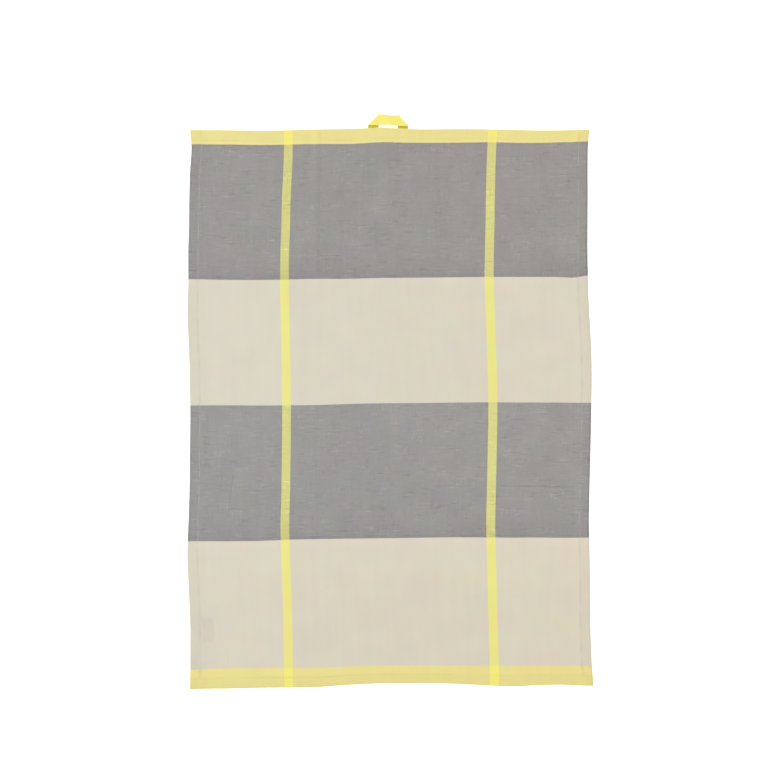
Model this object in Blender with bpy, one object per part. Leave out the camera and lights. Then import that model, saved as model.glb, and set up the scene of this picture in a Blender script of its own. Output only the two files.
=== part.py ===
"""Tea towel lying face up: a woven cotton cloth with four hems turned to the back, a hanging loop of
folded tape behind the top hem, and a small blank label caught in the left hem.

Metres, +Z up. The cloth lies on z = 0, +Y points to the loop, and the origin is the middle of the
outline. Sizes below are in millimetres. A place on the cloth is given by `across`, from -250 at the
left hem to 250 at the right, and `height`, along the warp, as if the cloth lay perfectly square.
"""

import math
from typing import NamedTuple

import bmesh
import bpy
import numpy as np

MM = 0.001

# The cloth, laid square
HALF_WIDTH = 250.0
TOP = 340.0
BOTTOM = -355.0
SIDE_HEM = 13.0
TOP_HEM = 15.0
BOTTOM_HEM = 13.5

# Thicknesses
LAYER = 1.0  # the cloth, the tape and the label
GAP = 0.3  # between pieces that lie on each other
TURNED = 1.3  # the two layers that a hem turns under the cloth
CORNER = 0.8  # what a corner, where two hems cross, adds to that
SEAT = LAYER + GAP  # how far the cloth lifts over the tape or the label

# A hem in section, from its fold inwards
FOLD_ROUND = 0.8  # the rounded edge of the fold
EDGE_STEP = 0.6  # the slope of the turned layers' inner edge
HEM_FALL = 4.5  # where the cloth comes down from the hem to the surface

# Grid lines of the cloth, at most this far apart
ACROSS_PITCH = 19.0
HEIGHT_PITCH = 25.0

# The hanging loop: outline of the tape as it lies folded
TAPE_WIDTH = 13.5
LOOP_LEFT = -28.2
LOOP_RIGHT = 22.4
LOOP_UNDERSIDE = 345.8  # lower edge of the level stretch
LEG_END = 329.5  # the ends, under the top hem
TAPE_NARROWING = 1.0  # the level stretch is drawn in a little at its top
FOLD_RADIUS = (LAYER + GAP) / 2
FOLD_STEPS = 5
TAPE_STRIPS = 4

# The lift of the cloth over the loop's legs
LOOP_MARGIN = 1.7
LOOP_FADE = 26.0
LEG_COVER = 16.0
LEG_FADE = 30.0

# The blank label: its place beside the left hem
LABEL_LENGTH = 33.0
LABEL_HEIGHT = -287.5
LABEL_WIDTH = 16.0
LABEL_MARGIN = 0.8
LABEL_FADE = 7.0


class SideSway(NamedTuple):
    """How far the two sides lie to the right of square, at one height."""

    height: float
    left: float
    right: float


class EndBow(NamedTuple):
    """How far the two ends lie above square, at one place across."""

    across: float
    bottom: float
    top: float


class Ripple(NamedTuple):
    """A soft raised line where the cloth stands off the surface."""

    across: float
    height: float
    to_across: float
    to_height: float
    half_width: float
    lift: float


SIDES = (
    SideSway(-355.0, 0.0, 3.4),
    SideSway(-341.0, 0.5, 2.6),
    SideSway(-310.0, -0.2, 0.9),
    SideSway(-273.0, -0.5, -0.3),
    SideSway(-228.0, -1.6, -0.6),
    SideSway(-183.0, -3.4, -1.5),
    SideSway(-160.0, -2.6, -2.0),
    SideSway(-116.0, -0.7, -1.6),
    SideSway(-56.0, -0.2, -0.3),
    SideSway(-11.0, 0.2, 0.6),
    SideSway(19.0, -0.6, 1.4),
    SideSway(49.0, -0.9, 1.3),
    SideSway(80.0, -2.0, -0.1),
    SideSway(117.0, -3.2, -1.8),
    SideSway(147.0, -2.7, -3.0),
    SideSway(192.0, -2.6, -3.8),
    SideSway(222.0, -1.4, -3.9),
    SideSway(252.0, -0.8, -3.5),
    SideSway(290.0, 0.0, -3.8),
    SideSway(320.0, 1.7, -3.3),
    SideSway(340.0, -0.1, -1.8),
)

ENDS = (
    EndBow(-250.0, -4.4, -1.2),
    EndBow(-200.0, -4.0, -1.8),
    EndBow(-165.0, -2.7, -2.5),
    EndBow(-125.0, -2.4, -1.4),
    EndBow(-94.0, -1.6, -0.3),
    EndBow(-57.0, 0.7, 0.3),
    EndBow(-4.0, 3.0, 1.4),
    EndBow(31.0, 3.1, 0.2),
    EndBow(81.0, 1.9, 0.2),
    EndBow(127.0, -0.2, -0.3),
    EndBow(150.0, -0.8, -0.9),
    EndBow(187.0, 0.4, -1.4),
    EndBow(212.0, 1.5, -1.2),
    EndBow(250.0, -0.2, 0.0),
)

RIPPLES = (
    Ripple(-12.0, 305.0, -10.0, 232.0, 26.0, 1.2),  # below the loop
    Ripple(82.0, 296.0, 86.0, 214.0, 24.0, 1.0),  # beside it, to the right
    Ripple(-98.0, 292.0, -102.0, 196.0, 24.0, 0.9),  # beside it, to the left
    Ripple(-176.0, -88.0, -186.0, -146.0, 26.0, 1.1),  # in the lower grey band
    Ripple(148.0, 100.0, 142.0, 42.0, 26.0, 0.9),  # in the upper pale band
    Ripple(-60.0, -205.0, -48.0, -262.0, 28.0, 1.0),  # in the lower pale band
    Ripple(196.0, -226.0, 200.0, -290.0, 25.0, 0.9),  # beside the lower right hem
)

SIDE_HEIGHTS = np.array([row.height for row in SIDES])
END_PLACES = np.array([row.across for row in ENDS])


def table_column(rows, name):
    """One named column of a table, as an array."""
    return np.array([getattr(row, name) for row in rows])


def through(places, knots, values):
    """A smooth curve through a table's values, read at the given places."""
    slopes = np.gradient(values, knots)
    i = np.clip(np.searchsorted(knots, places) - 1, 0, len(knots) - 2)
    span = knots[i + 1] - knots[i]
    t = np.clip((places - knots[i]) / span, 0.0, 1.0)
    rise = values[i + 1] - values[i]
    start, end = slopes[i] * span, slopes[i + 1] * span
    bend = start - rise + (start + end - 2.0 * rise) * -t
    return values[i] + t * (rise + (1.0 - t) * bend)


def fade(distance, length):
    """1 at no distance, 0 at a length or more, smooth between."""
    t = np.clip(distance / length, 0.0, 1.0)
    return 1.0 - t * t * (3.0 - 2.0 * t)


def place(across, height):
    """Where a place on the squared cloth lies, with the sway of its sides and the bow of its ends."""
    right_share = (across + HALF_WIDTH) / (2 * HALF_WIDTH)
    top_share = (height - BOTTOM) / (TOP - BOTTOM)
    left = through(height, SIDE_HEIGHTS, table_column(SIDES, "left"))
    right = through(height, SIDE_HEIGHTS, table_column(SIDES, "right"))
    bottom = through(across, END_PLACES, table_column(ENDS, "bottom"))
    top = through(across, END_PLACES, table_column(ENDS, "top"))
    x = across + left + (right - left) * right_share
    y = height + bottom + (top - bottom) * top_share
    return x, y


def past_hem(across, height):
    """How far inside the inner edge of the side hems and of the end hems a place lies."""
    past_side = HALF_WIDTH - np.abs(across) - SIDE_HEM
    past_end = np.minimum(TOP - height - TOP_HEM, height - BOTTOM - BOTTOM_HEM)
    return past_side, past_end


def ripple_lift(across, height):
    """The lift of the soft ripples."""
    lift = np.zeros_like(across)
    for ripple in RIPPLES:
        run = np.array([ripple.to_across - ripple.across, ripple.to_height - ripple.height])
        from_x, from_y = across - ripple.across, height - ripple.height
        share = np.clip((from_x * run[0] + from_y * run[1]) / run.dot(run), 0.0, 1.0)
        away = np.hypot(from_x - share * run[0], from_y - share * run[1])
        bell = np.cos(np.clip(away / ripple.half_width, 0.0, 1.0) * math.pi / 2) ** 2
        lift = np.maximum(lift, ripple.lift * bell)
    return np.where(lift < 1e-6, 0.0, lift)


def loop_lift(across, height):
    """The lift of the cloth over the two legs of the hanging loop."""
    middle = (LOOP_LEFT + LOOP_RIGHT) / 2
    beside = np.abs(across - middle) - (LOOP_RIGHT - LOOP_LEFT) / 2 - LOOP_MARGIN
    below = TOP - height - LEG_COVER
    return SEAT * fade(beside, LOOP_FADE) * fade(below, LEG_FADE)


def label_lift(across, height):
    """The lift of the cloth over the label."""
    beside = across + HALF_WIDTH - SIDE_HEM - EDGE_STEP - GAP - LABEL_WIDTH - LABEL_MARGIN
    beyond = np.abs(height - LABEL_HEIGHT) - LABEL_LENGTH / 2 - LABEL_MARGIN
    return SEAT * fade(beside, LABEL_FADE) * fade(beyond, LABEL_FADE)


def cloth_faces(across, height):
    """Heights of the cloth's underside and upper side."""
    past_side, past_end = past_hem(across, height)
    near_side, near_end = fade(past_side, HEM_FALL), fade(past_end, HEM_FALL)
    turned = TURNED * np.maximum(near_side, near_end) + CORNER * np.minimum(near_side, near_end)
    lift = np.maximum(ripple_lift(across, height), loop_lift(across, height))
    in_end, in_side = past_end <= 0.0, past_side <= 0.0
    panel = np.maximum(label_lift(across, height) * ~in_side, lift + turned)
    under = np.where(in_end, lift, np.where(in_side, lift + CORNER * near_end, panel))
    upper = np.where(in_end | in_side, lift + turned, panel) + LAYER
    return under, upper


def filled(lines, pitch):
    """The given grid lines, with more spaced evenly between those further apart than the pitch."""
    lines = sorted(lines)
    out = [lines[0]]
    for start, end in zip(lines, lines[1:]):
        steps = max(1, math.ceil((end - start) / pitch - 1e-6))
        out += [start + (end - start) * step / steps for step in range(1, steps + 1)]
    return np.array(out)


def hem_lines(hem):
    """Grid lines across one hem, from its fold to where the cloth lies flat."""
    inner = hem + EDGE_STEP
    return [0.0, FOLD_ROUND, hem / 2, hem, inner, hem + HEM_FALL / 2, hem + HEM_FALL]


def shell(name, upper, lower, material):
    """A closed solid between two grids of points, given in millimetres as rows of (x, y, z)."""
    rows, columns = upper.shape[:2]
    bm = bmesh.new()
    sheets = [
        [[bm.verts.new(point * MM) for point in row] for row in grid] for grid in (upper, lower)
    ]
    top, bottom = sheets
    for j in range(rows - 1):
        for i in range(columns - 1):
            bm.faces.new((top[j][i], top[j][i + 1], top[j + 1][i + 1], top[j + 1][i]))
            bm.faces.new((bottom[j][i], bottom[j + 1][i], bottom[j + 1][i + 1], bottom[j][i + 1]))
    rim = [(0, i) for i in range(columns)]
    rim += [(j, columns - 1) for j in range(1, rows)]
    rim += [(rows - 1, i) for i in range(columns - 2, -1, -1)]
    rim += [(j, 0) for j in range(rows - 2, 0, -1)]
    for (j, i), (n, m) in zip(rim, rim[1:] + rim[:1]):
        bm.faces.new((top[j][i], bottom[j][i], bottom[n][m], top[n][m]))
    bmesh.ops.recalc_face_normals(bm, faces=bm.faces)
    mesh = bpy.data.meshes.new(name)
    bm.to_mesh(mesh)
    bm.free()
    mesh.shade_smooth()
    mesh.set_sharp_from_angle(angle=math.radians(40))
    mesh.materials.append(material)
    part = bpy.data.objects.new(name, mesh)
    bpy.context.collection.objects.link(part)
    return part


def woven_material(name, colour, roughness):
    """A plain cloth material in one colour."""
    material = bpy.data.materials.new(name)
    material.use_nodes = True
    shader = material.node_tree.nodes["Principled BSDF"]
    shader.inputs["Base Color"].default_value = (*colour, 1.0)
    shader.inputs["Roughness"].default_value = roughness
    shader.inputs["Metallic"].default_value = 0.0
    return material


def towel_cloth():
    """The woven panel with its turned hems."""
    side = hem_lines(SIDE_HEM)
    label_edge = SIDE_HEM + EDGE_STEP + GAP + LABEL_WIDTH + LABEL_MARGIN
    columns = [-HALF_WIDTH + line for line in side + [label_edge, label_edge + LABEL_FADE]]
    columns += [HALF_WIDTH - line for line in side]
    for edge, away in ((LOOP_LEFT, -1), (LOOP_RIGHT, 1)):
        columns += [edge + away * LOOP_MARGIN, edge + away * (LOOP_MARGIN + LOOP_FADE)]
    rows = [BOTTOM + line for line in hem_lines(BOTTOM_HEM)]
    rows += [TOP - line for line in hem_lines(TOP_HEM)] + [TOP - LEG_COVER - LEG_FADE]
    for away in (-1, 1):
        label_end = LABEL_LENGTH / 2 + LABEL_MARGIN
        rows += [LABEL_HEIGHT + away * label_end, LABEL_HEIGHT + away * (label_end + LABEL_FADE)]
    across, height = np.meshgrid(filled(columns, ACROSS_PITCH), filled(rows, HEIGHT_PITCH))
    x, y = place(across, height)
    under, upper = cloth_faces(across, height)
    rim = np.ones_like(x)
    rim[1:-1, 1:-1] = 0.0
    draw_in = rim * (upper - under) / 4
    return shell(
        "towel_cloth",
        np.dstack((x, y, upper - draw_in)),
        np.dstack((x, y, under + draw_in)),
        woven_material("woven_cotton", (0.46, 0.43, 0.36), 0.9),
    )


def fold_tape(point, normal, through_point, outward, turn):
    """Fold what lies past a line over it. The line runs through a point, square to `outward`;
    the tape turns up with turn 1, and down with turn -1, round a small radius."""
    past = (point - through_point) @ outward
    if past <= 0.0:
        return point, normal
    foot = point - past * outward
    angle = min(past / FOLD_RADIUS, math.pi)
    rest = max(0.0, past - math.pi * FOLD_RADIUS)
    up = np.array([0.0, 0.0, float(turn)])
    reach = FOLD_RADIUS * math.sin(angle) - rest
    point = foot + outward * reach + up * FOLD_RADIUS * (1.0 - math.cos(angle))
    facing = normal @ up
    normal = facing * (math.cos(angle) * up - math.sin(angle) * outward)
    return point, normal


def hanging_loop():
    """The tape: up from under the hem, folded to the right, level, and folded down behind again."""
    half = TAPE_WIDTH / 2
    arc = math.pi * FOLD_RADIUS
    slip = arc / math.sqrt(2)  # how far a 45 degree fold of this radius shifts the tape
    first_out = np.array([-1.0, 1.0, 0.0]) / math.sqrt(2)
    second_out = np.array([1.0, 1.0, 0.0]) / math.sqrt(2)
    first_point = np.array([LOOP_LEFT, LOOP_UNDERSIDE - slip, 0.0])
    second_point = np.array([LOOP_RIGHT - slip, LOOP_UNDERSIDE, 0.0])
    first_fold = LOOP_UNDERSIDE - slip - LEG_END + half
    second_fold = first_fold + LOOP_RIGHT - LOOP_LEFT - TAPE_WIDTH
    length = second_fold + first_fold + 2 * slip
    middle = (first_fold + second_fold) / 2

    def laid(along, side, slope):
        """The folded tape's mid-surface and normal, at a place along its middle and to one side."""
        drawn = TAPE_NARROWING * math.exp(-(((along - middle) / TAPE_WIDTH) ** 2))
        across = LOOP_LEFT + half + side - drawn * max(0.0, side / half)
        flat = np.array([across, LEG_END + along + slope * side, LAYER / 2])
        point, normal = fold_tape(flat, np.array([0.0, 0.0, 1.0]), first_point, first_out, 1)
        return fold_tape(point, normal, second_point, second_out, -1)

    bend = [arc * math.sqrt(2) * step / FOLD_STEPS for step in range(FOLD_STEPS + 1)]
    stations = [(0.0, 0.0), (first_fold / 2, 0.3)]
    stations += [(first_fold + step, 1.0) for step in bend]
    stations += [(middle + share * TAPE_WIDTH, -share) for share in (-0.5, 0.0, 0.5)]
    stations += [(second_fold + step, -1.0) for step in bend]
    stations += [(length - first_fold / 2, -0.3), (length, 0.0)]
    upper, lower = [], []
    for along, slope in stations:
        sides = half * np.linspace(-1.0, 1.0, TAPE_STRIPS + 1)
        row = [laid(along, side, slope) for side in sides]
        upper.append([point + normal * LAYER / 2 for point, normal in row])
        lower.append([point - normal * LAYER / 2 for point, normal in row])
    material = woven_material("loop_tape", (0.92, 0.80, 0.16), 0.8)
    return shell("hanging_loop", np.array(upper), np.array(lower), material)


def blank_label():
    """The small plain label, flat on the surface behind the cloth, its root against the left hem."""
    root = -HALF_WIDTH + SIDE_HEM + EDGE_STEP + GAP
    columns = np.linspace(root, root + LABEL_WIDTH, 3)
    rows = LABEL_HEIGHT + np.linspace(-LABEL_LENGTH / 2, LABEL_LENGTH / 2, 4)
    across, height = np.meshgrid(columns, rows)
    x, y = place(across, height)
    upper = np.dstack((x, y, np.full_like(x, LAYER)))
    lower = np.dstack((x, y, np.zeros_like(x)))
    return shell("blank_label", upper, lower, woven_material("label_satin", (0.85, 0.85, 0.83), 0.6))


def main():
    for old in list(bpy.data.objects):
        bpy.data.objects.remove(old, do_unlink=True)
    towel_cloth()
    hanging_loop()
    blank_label()


main()
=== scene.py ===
"""A woven cotton tea towel, lying face up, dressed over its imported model.

Three sewn pieces make the towel: the cloth with its four double hems turned to the back, a hanging
loop of folded tape caught in the top hem, and a blank label caught in the left one. Two rows of
thread, one on each side of the cloth, hold the hems. Sizes are in millimetres unless a name says
otherwise. A place on the cloth is given by `across`, from -250 at the left hem to 250 at the right,
and `height`, along the warp, as if the cloth lay perfectly square.
"""

import logging
import math
from dataclasses import dataclass, field
from enum import Enum
from functools import reduce
from itertools import product, starmap
from typing import NamedTuple

import bpy
import numpy as np
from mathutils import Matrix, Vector


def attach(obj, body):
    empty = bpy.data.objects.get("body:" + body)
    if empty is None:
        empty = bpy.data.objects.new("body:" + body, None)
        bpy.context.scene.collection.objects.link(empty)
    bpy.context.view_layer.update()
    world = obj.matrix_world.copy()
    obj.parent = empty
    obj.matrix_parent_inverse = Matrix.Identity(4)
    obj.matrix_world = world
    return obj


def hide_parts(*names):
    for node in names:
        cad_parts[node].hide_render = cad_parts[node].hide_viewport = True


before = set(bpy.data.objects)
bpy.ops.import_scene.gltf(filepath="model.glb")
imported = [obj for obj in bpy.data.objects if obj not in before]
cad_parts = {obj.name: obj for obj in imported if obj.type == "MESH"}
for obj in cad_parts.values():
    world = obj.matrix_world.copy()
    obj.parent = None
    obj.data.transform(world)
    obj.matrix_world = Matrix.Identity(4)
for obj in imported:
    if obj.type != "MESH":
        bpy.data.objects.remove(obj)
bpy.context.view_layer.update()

log = logging.getLogger("tea_towel")

MM = 0.001
BODY = "root"
HALF_WIDTH = 250.0
TOP = 340.0
BOTTOM = -355.0
UP = np.array([0.0, 0.0, 1.0])
STUDIO_LIGHT = 1.15  # how bright the studio shows a white surface
THREAD_EDGE = 0.3  # half the width over which one colour of yarn turns into the next
CUT_MAP = "cloth"
LOOP_LEFT, LOOP_RIGHT = -28.2, 22.4
LABEL_HEIGHT = -284.5
LOWER_GREY = (-172.0, -3.0)
UPPER_GREY = (153.5, 321.9)

Array = np.ndarray
Colour = tuple[float, float, float]
Socket = bpy.types.NodeSocket


class Face(Enum):
    """A side of the cloth."""

    FRONT = 1
    BACK = -1


class Section(Enum):
    """A part of the cloth in section, from the raw edge inside a hem to the open panel."""

    FLAP = "flap"
    INNER_FOLD = "inner fold"
    TURNED = "turned layer"
    OUTER_FOLD = "outer fold"
    PANEL = "panel"


class Weft(Enum):
    """A yarn of the weft, with the step from it to the warp, plain and in a yellow stripe."""

    GREY = ((0.13, 0.12, 0.10), (0.17, 0.16, 0.02))
    PALE = ((0.025, 0.022, 0.02), (0.05, 0.04, -0.05))
    YELLOW = ((0.05, 0.05, 0.08), (0.03, 0.03, 0.0))


class Coordinates(Enum):
    """What a material reads a place on, with the node and the output that give it."""

    CUT = ("ShaderNodeUVMap", "UV")
    TOWEL = ("ShaderNodeTexCoord", "Object")


class Reading(Enum):
    """What a shade on the cloth goes by."""

    ACROSS = "the place across"
    HEIGHT = "the place along the warp"
    SIDE = "the distance from the cloth's middle"
    STRIPE = "the distance from the left stripe"
    ROW = "the distance from the bottom seam"
    ROW_MIDDLE = "the distance from where that seam shows most"
    PATCH = "slow noise"
    BESIDE_LABEL = "the distance across from the label"
    BEYOND_LABEL = "the distance along the warp from the label"


class Band(NamedTuple):
    """A stretch of the cloth up to a height, with how it and its stripes look in display levels."""

    top: float
    weft: Weft
    plain: Colour
    striped: Colour


class WarpSway(NamedTuple):
    """How far the two sides and the two yellow stripes lie right of square, at one height."""

    height: float
    left: float
    left_stripe: float
    right_stripe: float
    right: float


class WeftBow(NamedTuple):
    """How far the ends and the colour changes lie above square, at one place across."""

    across: float
    bottom: float
    hem_yellow: float
    lower_pale: float
    lower_grey: float
    upper_pale: float
    upper_grey: float
    top: float


class SoftLine(NamedTuple):
    """A line on the cloth: a ripple raised by its strength, or a crease with painted shade darker by
    it.
    """

    across: float
    height: float
    to_across: float
    to_height: float
    half_width: float
    strength: float


class Tone(NamedTuple):
    """How much lighter than its yarns the cloth looks, at one height."""

    height: float
    lighter: float


class Slub(NamedTuple):
    """Thick threads that show in the grey bands, by the size of their noise and where it starts."""

    wide: float
    high: float
    start: float
    lighter: float


class Grain(NamedTuple):
    """Unevenness of the weave, by the size of its noise, in the grey bands and elsewhere."""

    wide: float
    high: float
    in_grey: float
    elsewhere: float


class Shade(NamedTuple):
    """How much lighter a place looks, where each step, from its start to its end, has been made."""

    steps: tuple[tuple[Reading, float, float], ...]
    in_grey: float
    elsewhere: float


class LoopSlump(NamedTuple):
    """How far the loop's upper layer has slipped, at one place across."""

    across: float
    lower_edge_down: float
    upper_edge_down: float
    upper_edge_right: float


WARP_LINES = (-HALF_WIDTH, -130.0, 126.0, HALF_WIDTH)
WEFT_LINES = (BOTTOM, -332.0, *LOWER_GREY, 154.0, 322.5, TOP)

WARP_SWAY = tuple(starmap(WarpSway, (
    (-355, 0, 3.1, 3.9, 3.4),
    (-341, 0.1, 2.8, 4, 2.3),
    (-310, 0.1, 2.3, 3.3, 0.6),
    (-273, 0, 1.6, 2.1, -0.4),
    (-228, -2, 0.2, 1.3, -0.8),
    (-183, -3.6, -1.3, 0, -1.4),
    (-160, -2.6, -2, -0.5, -2.2),
    (-116, -1, -1.1, 0.2, -1.6),
    (-56, -0.2, -0.2, 1.5, -0.1),
    (-11, 0.2, 0.1, 2.1, 0.8),
    (19, -0.4, -0.1, 1.9, 1.4),
    (49, -1, -0.4, 0.8, 1.2),
    (80, -2.3, -1.2, -0.2, -0.1),
    (117, -3.5, -2, -1.6, -2.2),
    (147, -2.4, -2.5, -2.5, -3.3),
    (192, -2.3, -2, -2.1, -4),
    (222, -1.4, -0.9, -1.4, -3.9),
    (252, -1.1, -0.3, -1, -3.7),
    (290, 0, 1.6, -0.2, -3.8),
    (320, 1.7, 2.5, 1, -3.3),
    (340, -0.1, 2.6, 2.1, -1.8),
)))

WEFT_BOW = tuple(starmap(WeftBow, (
    (-250, -4.2, -3.25, -2.6, -2.1, -0.9, -1.1, -1.1),
    (-200, -3.5, -1.5, -2.75, -1.9, -1.75, -1.25, -1.4),
    (-165, -2.7, -1.25, -2.4, -2.2, -1.9, -1.8, -2.1),
    (-125, -2.2, -1.1, -0.75, -1.9, -1.4, -1.2, -1.2),
    (-94, -1.7, -1.25, -0.1, -1.6, -0.6, -0.5, -0.3),
    (-57, 1, 0.6, 0.4, -0.4, -0.6, -0.6, 0.1),
    (-4, 3, 1.8, 1.1, 0.7, 0.6, 1.4, 1.4),
    (15, 3.1, 1.8, 1.4, 0.8, 0.8, 0.9, 0.2),
    (31, 3.2, 1.75, 1.6, 0.9, 0.9, 0.9, -0.2),
    (81, 2.2, 1.6, 2.25, 1.5, 1.4, 1.1, 0.1),
    (127, -0.2, 1.25, 2, 1.75, 1.8, 1.6, -0.3),
    (150, -0.8, 1.3, 1.8, 1.6, 1.9, 1.1, -0.9),
    (187, 0.8, 1.4, 1.9, 1.5, 1.9, 0.9, -1.6),
    (212, 1.2, 1.4, 1.6, 1.4, 1.75, 1.6, -1.5),
    (233, 0.3, 1.6, 1.8, 1.2, 1.1, 1.9, -1.1),
    (250, 0, 0.3, 2, 1.1, 3.9, 2.6, -1),
)))

RIPPLES = tuple(starmap(SoftLine, (
    (-12, 313, -10, 232, 26, 1.2),  # below the loop
    (82, 296, 86, 214, 24, 1),  # beside it, to the right
    (-98, 292, -102, 196, 24, 0.9),  # beside it, to the left
    (-186, -92, -192, -140, 26, 0.7),  # in the lower grey band
    (148, 100, 142, 42, 30, 0.5),  # in the upper pale band
    (-60, -205, -48, -262, 32, 0.5),  # in the lower pale band
)))

BANDS = tuple(starmap(Band, (
    (-343, Weft.YELLOW, (232, 219.8, 144.5), (244.5, 235, 124.5)),  # the hem, painted darker where its layers let less light through from the table
    (-331.7, Weft.YELLOW, (233.8, 222, 145), (246, 236, 124.5)),
    (LOWER_GREY[0], Weft.PALE, (219.5, 211.5, 192.8), (236, 230, 138)),
    (-168.2, Weft.GREY, (150, 145.5, 146), (209, 205, 132)),  # beaten closer
    (LOWER_GREY[1], Weft.GREY, (154.3, 151.9, 150), (215.8, 213, 139)),
    (UPPER_GREY[0], Weft.PALE, (220, 213, 195), (235.5, 230, 140)),
    (157.3, Weft.GREY, (149.5, 145, 145.5), (209, 205, 132)),  # beaten closer
    (UPPER_GREY[1], Weft.GREY, (153.8, 150.4, 148.3), (215.2, 210.3, 137.5)),
    (324.8, Weft.YELLOW, (238.5, 226, 153), (247.5, 237, 130)),  # below the hem, painted lighter where one layer lets light through from the table
    (TOP, Weft.YELLOW, (235.3, 223.3, 146.3), (246.5, 235.8, 125)),
)))

# Creases, each painted darker along its line as shade; a strength below nothing paints a highlight
CREASES = tuple(starmap(SoftLine, (
    (-196, -90, -201.5, -141, 1.3, 0.13),  # up the lower grey band, at the left
    (-203.5, -314, -203.5, -324, 1.1, 0.05),  # above the bottom hem, at the left
    (139, -107.5, 228, -108.5, 1.8, 0.11),  # across it, at the right
    (-232, 320.6, -140, 320.6, 1.4, 0.09),  # painted shadow below the top hem's edge, at the left
    (-90.5, 336, -88, 165, 3.8, 0.045),  # down the upper grey band, left of the middle
    (-98.5, 336, -96, 165, 6, -0.022),  # a painted highlight beside it
)))

TONES = tuple(starmap(Tone, (
    (-355, -0.02),
    (-250, -0.015),
    (-184, 0.01),
    (-174, 0.03),  # just below the lower grey band
    (-170, -0.05),
    (-166, -0.08),  # its lowest threads
    (-160, -0.054),
    (-150, -0.027),
    (-130, -0.018),
    (-14, 0.016),
    (-4, 0),
    (0, 0),
    (143, 0.002),
    (152, 0.018),  # just below the upper grey band
    (158, -0.07),  # its lowest threads
    (165, -0.045),
    (186, 0.003),
    (318, -0.005),
    (340, 0),
)))

SLUBS = tuple(starmap(Slub, (
    (17, 2.3, 0, -0.135),  # dark slubs in the weft
    (15, 2.2, 300, 0.13),  # light ones
    (1.9, 14, 600, -0.08),  # dark threads of the warp
    (1.8, 11, 1200, 0.09),  # light ones
    (1.7, 1.7, 900, 0.13),  # small knots
)))

GRAINS = tuple(starmap(Grain, (
    (6.5, 2.3, 0.06, 0.004),  # grain of the weft
    (90, 2.2, 0.05, 0.006),  # its bars
    (4.4, 52, 0.07, 0.01),  # ribs of the warp
    (9, 90, 0.02, 0.04),
    (26, 60, 0.10, 0.02),
    (44, 36, 0.14, 0.04),  # slow unevenness
)))

LEFT_HEM = (Reading.ACROSS, -239.4, -241)
BOTTOM_SEAM = (Reading.ROW, 1.6, 0.5)
SIDE_SEAM = (
    (Reading.SIDE, 235, 236.8),
    (Reading.SIDE, 240.4, 239),
    (Reading.HEIGHT, -343.6, -342.4),
)

SHADES = tuple(starmap(Shade, (
    (((Reading.SIDE, 118, 140),), 0.014, 0.01),  # outside the stripes
    (((Reading.STRIPE, 7, 5.5),), -0.04, 0),
    (((Reading.ACROSS, -246.3, -248.5),), -0.05, 0),  # the left rim, painted shade on its rolled edge
    # the left hem, painted darker where its layers let less light through from the table
    ((LEFT_HEM,), -0.036, -0.03),
    (((Reading.ACROSS, 239.4, 241),), -0.03, -0.02),  # the right hem, painted darker where its layers let less light through from the table
    (((Reading.ACROSS, 247.2, 248.6),), -0.18, -0.06),  # the right rim, painted shade on its rolled edge, deeper on this side, away from the light
    (((Reading.HEIGHT, -353, -354.6),), -0.04, -0.035),  # the lower rim, painted shade on its rolled edge
    # the side seams: lighter in the grey bands where the pale thread shows, elsewhere painted shade
    # in the seam's groove
    (SIDE_SEAM, 0.0072, -0.0276),
    ((*SIDE_SEAM, (Reading.PATCH, 0.4, 0.6)), 0.0096, -0.0368),  # where the thread sinks deeper here and there: more pale thread in the grey, more painted groove shade elsewhere
    ((*SIDE_SEAM, (Reading.HEIGHT, -330, -332)), 0, -0.04),  # painted groove shade in the yellow end
    # painted shade in the bottom seam's groove, left of the middle and near the corners
    ((BOTTOM_SEAM, (Reading.ROW_MIDDLE, 100, 60)), 0, -0.03),
    ((BOTTOM_SEAM, (Reading.SIDE, 234, 237.5)), 0, -0.03),
    # painted shadow on the left hem, just above the bottom hem's fold
    (((Reading.HEIGHT, -292, -326), (Reading.HEIGHT, -333, -331), LEFT_HEM), 0, -0.055),
    # painted shadow of the label lying behind the cloth, showing through it
    (((Reading.BESIDE_LABEL, 9, 5.6), (Reading.BEYOND_LABEL, 17.5, 12.5)), -0.055, -0.055),
    (((Reading.ACROSS, -238, -240), (Reading.BEYOND_LABEL, 24, 14)), -0.02, -0.02),  # painted shadow of its root
)))

LOOP_SLUMP = tuple(starmap(LoopSlump, (
    (-28.2, 1.3, 0.2, 0),
    (-14.5, 1.3, 0.7, -0.4),
    (-12.5, 0.8, 0.4, -0.2),
    (-9, 0.7, 0.3, 0),
    (-3, 0.6, 1.1, 0),
    (2.5, 1, 1.7, 0.8),
    (8.5, 2, 2.3, 3.3),
    (12, 2.4, 2.3, 3.7),
    (22.4, 2.7, 2.1, 3.7),
)))


def through(places: Array, knots: Array, values: Array) -> Array:
    """A smooth curve through a table's values.

    Args:
        places: Where the curve is read.
        knots: Where the table gives its values.
        values: The table's values.

    Returns:
        The curve's value at each place.
    """
    slopes = np.gradient(values, knots)
    i = np.clip(np.searchsorted(knots, places) - 1, 0, len(knots) - 2)
    span = knots[i + 1] - knots[i]
    t = np.clip((places - knots[i]) / span, 0.0, 1.0)
    rise = values[i + 1] - values[i]
    start, end = slopes[i] * span, slopes[i + 1] * span
    bend = start - rise + (start + end - 2.0 * rise) * -t
    return values[i] + t * (rise + (1.0 - t) * bend)


def fade(distance: Array, length: float) -> Array:
    """1 at no distance and 0 at a length or more, smooth between."""
    t = np.clip(distance / length, 0.0, 1.0)
    return 1.0 - t * t * (3.0 - 2.0 * t)


def bell(distance: Array, half_width: float) -> Array:
    """A rounded ridge: 1 in its middle and 0 at a half width or more to either side."""
    return np.cos(np.clip(np.abs(distance) / half_width, 0.0, 1.0) * math.pi / 2) ** 2


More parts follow.
